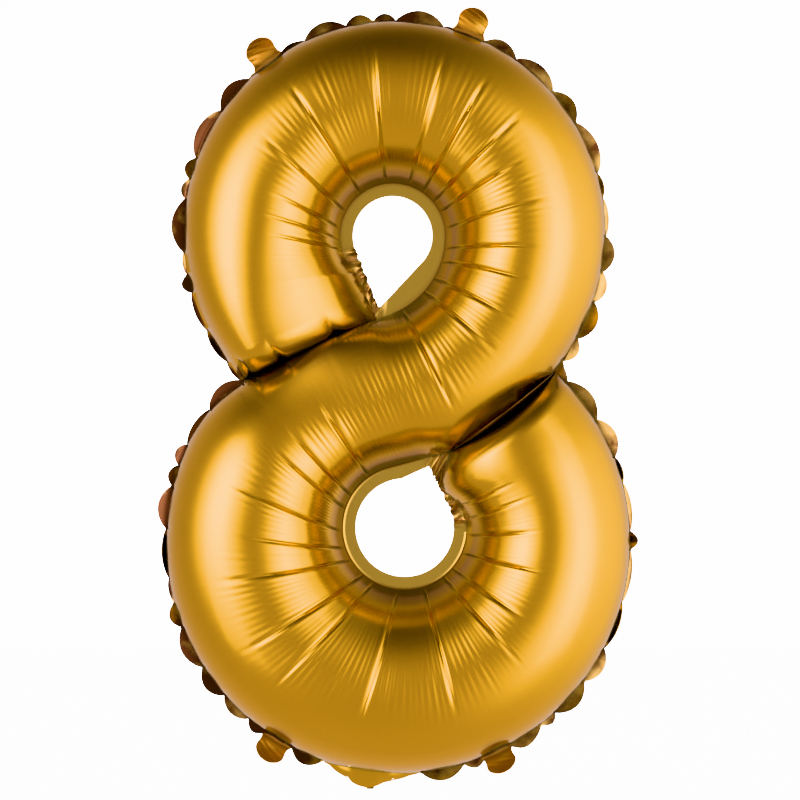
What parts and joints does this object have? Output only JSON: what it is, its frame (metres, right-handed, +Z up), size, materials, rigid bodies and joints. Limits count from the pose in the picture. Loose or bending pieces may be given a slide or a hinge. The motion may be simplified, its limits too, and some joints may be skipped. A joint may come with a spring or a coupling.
{
  "type": "foil number balloon",
  "caption": "Air-filled foil balloon shaped as the number eight: inflated S-shaped tube with flat welded margins, two openings, rounded hanging tabs and a folded inflation neck.",
  "frame": {"origin": "centre of the bounding box in plan, at the height of its lowest face", "axes": "+Z up the number, -Y towards the viewer who reads the number, +X to that viewer's right; the weld lies in the plane y = 0"},
  "size_m": [0.2192, 0.0764, 0.3487],
  "materials": {
    "gold_foil": "satin metallised gold film",
    "clear_film": "clear polyethylene film"
  },
  "bodies": {
    "balloon": {"front_foil_panel": "gold_foil", "back_foil_panel": "gold_foil", "valve_film_front": "clear_film", "valve_film_back": "clear_film"},
    "inflation_neck": {"inflation_neck_front_ply": "gold_foil", "inflation_neck_back_ply": "gold_foil"},
    "hanging_tab_bottom_left": {"hanging_tab_bottom_left": "gold_foil"},
    "hanging_tab_bottom_right": {"hanging_tab_bottom_right": "gold_foil"},
    "hanging_tab_top_left": {"hanging_tab_top_left": "gold_foil"},
    "hanging_tab_top_right": {"hanging_tab_top_right": "gold_foil"}
  },
  "joints": [
    {"name": "inflation_neck_fold", "type": "hinge", "parent": "balloon", "child": "inflation_neck", "pos_m": [-0.0125, 0, 0.00055], "axis": [1, 0, 0], "range_deg": [-90, 10]},
    {"name": "hanging_tab_bottom_left_bend", "type": "hinge", "parent": "balloon", "child": "hanging_tab_bottom_left", "pos_m": [-0.05471, 0, 0.02158], "axis": [-0.8526, 0, 0.5225], "range_deg": [-90, 50]},
    {"name": "hanging_tab_bottom_right_bend", "type": "hinge", "parent": "balloon", "child": "hanging_tab_bottom_right", "pos_m": [0.04425, 0, 0.01596], "axis": [-0.9063, 0, -0.4226], "range_deg": [-100, 40]},
    {"name": "hanging_tab_top_left_bend", "type": "hinge", "parent": "balloon", "child": "hanging_tab_top_left", "pos_m": [-0.05845, 0, 0.32514], "axis": [0.8039, 0, 0.5948], "range_deg": [-80, 60]},
    {"name": "hanging_tab_top_right_bend", "type": "hinge", "parent": "balloon", "child": "hanging_tab_top_right", "pos_m": [0.03171, 0, 0.33781], "axis": [0.9367, 0, -0.3502], "range_deg": [-80, 60]}
  ]
}
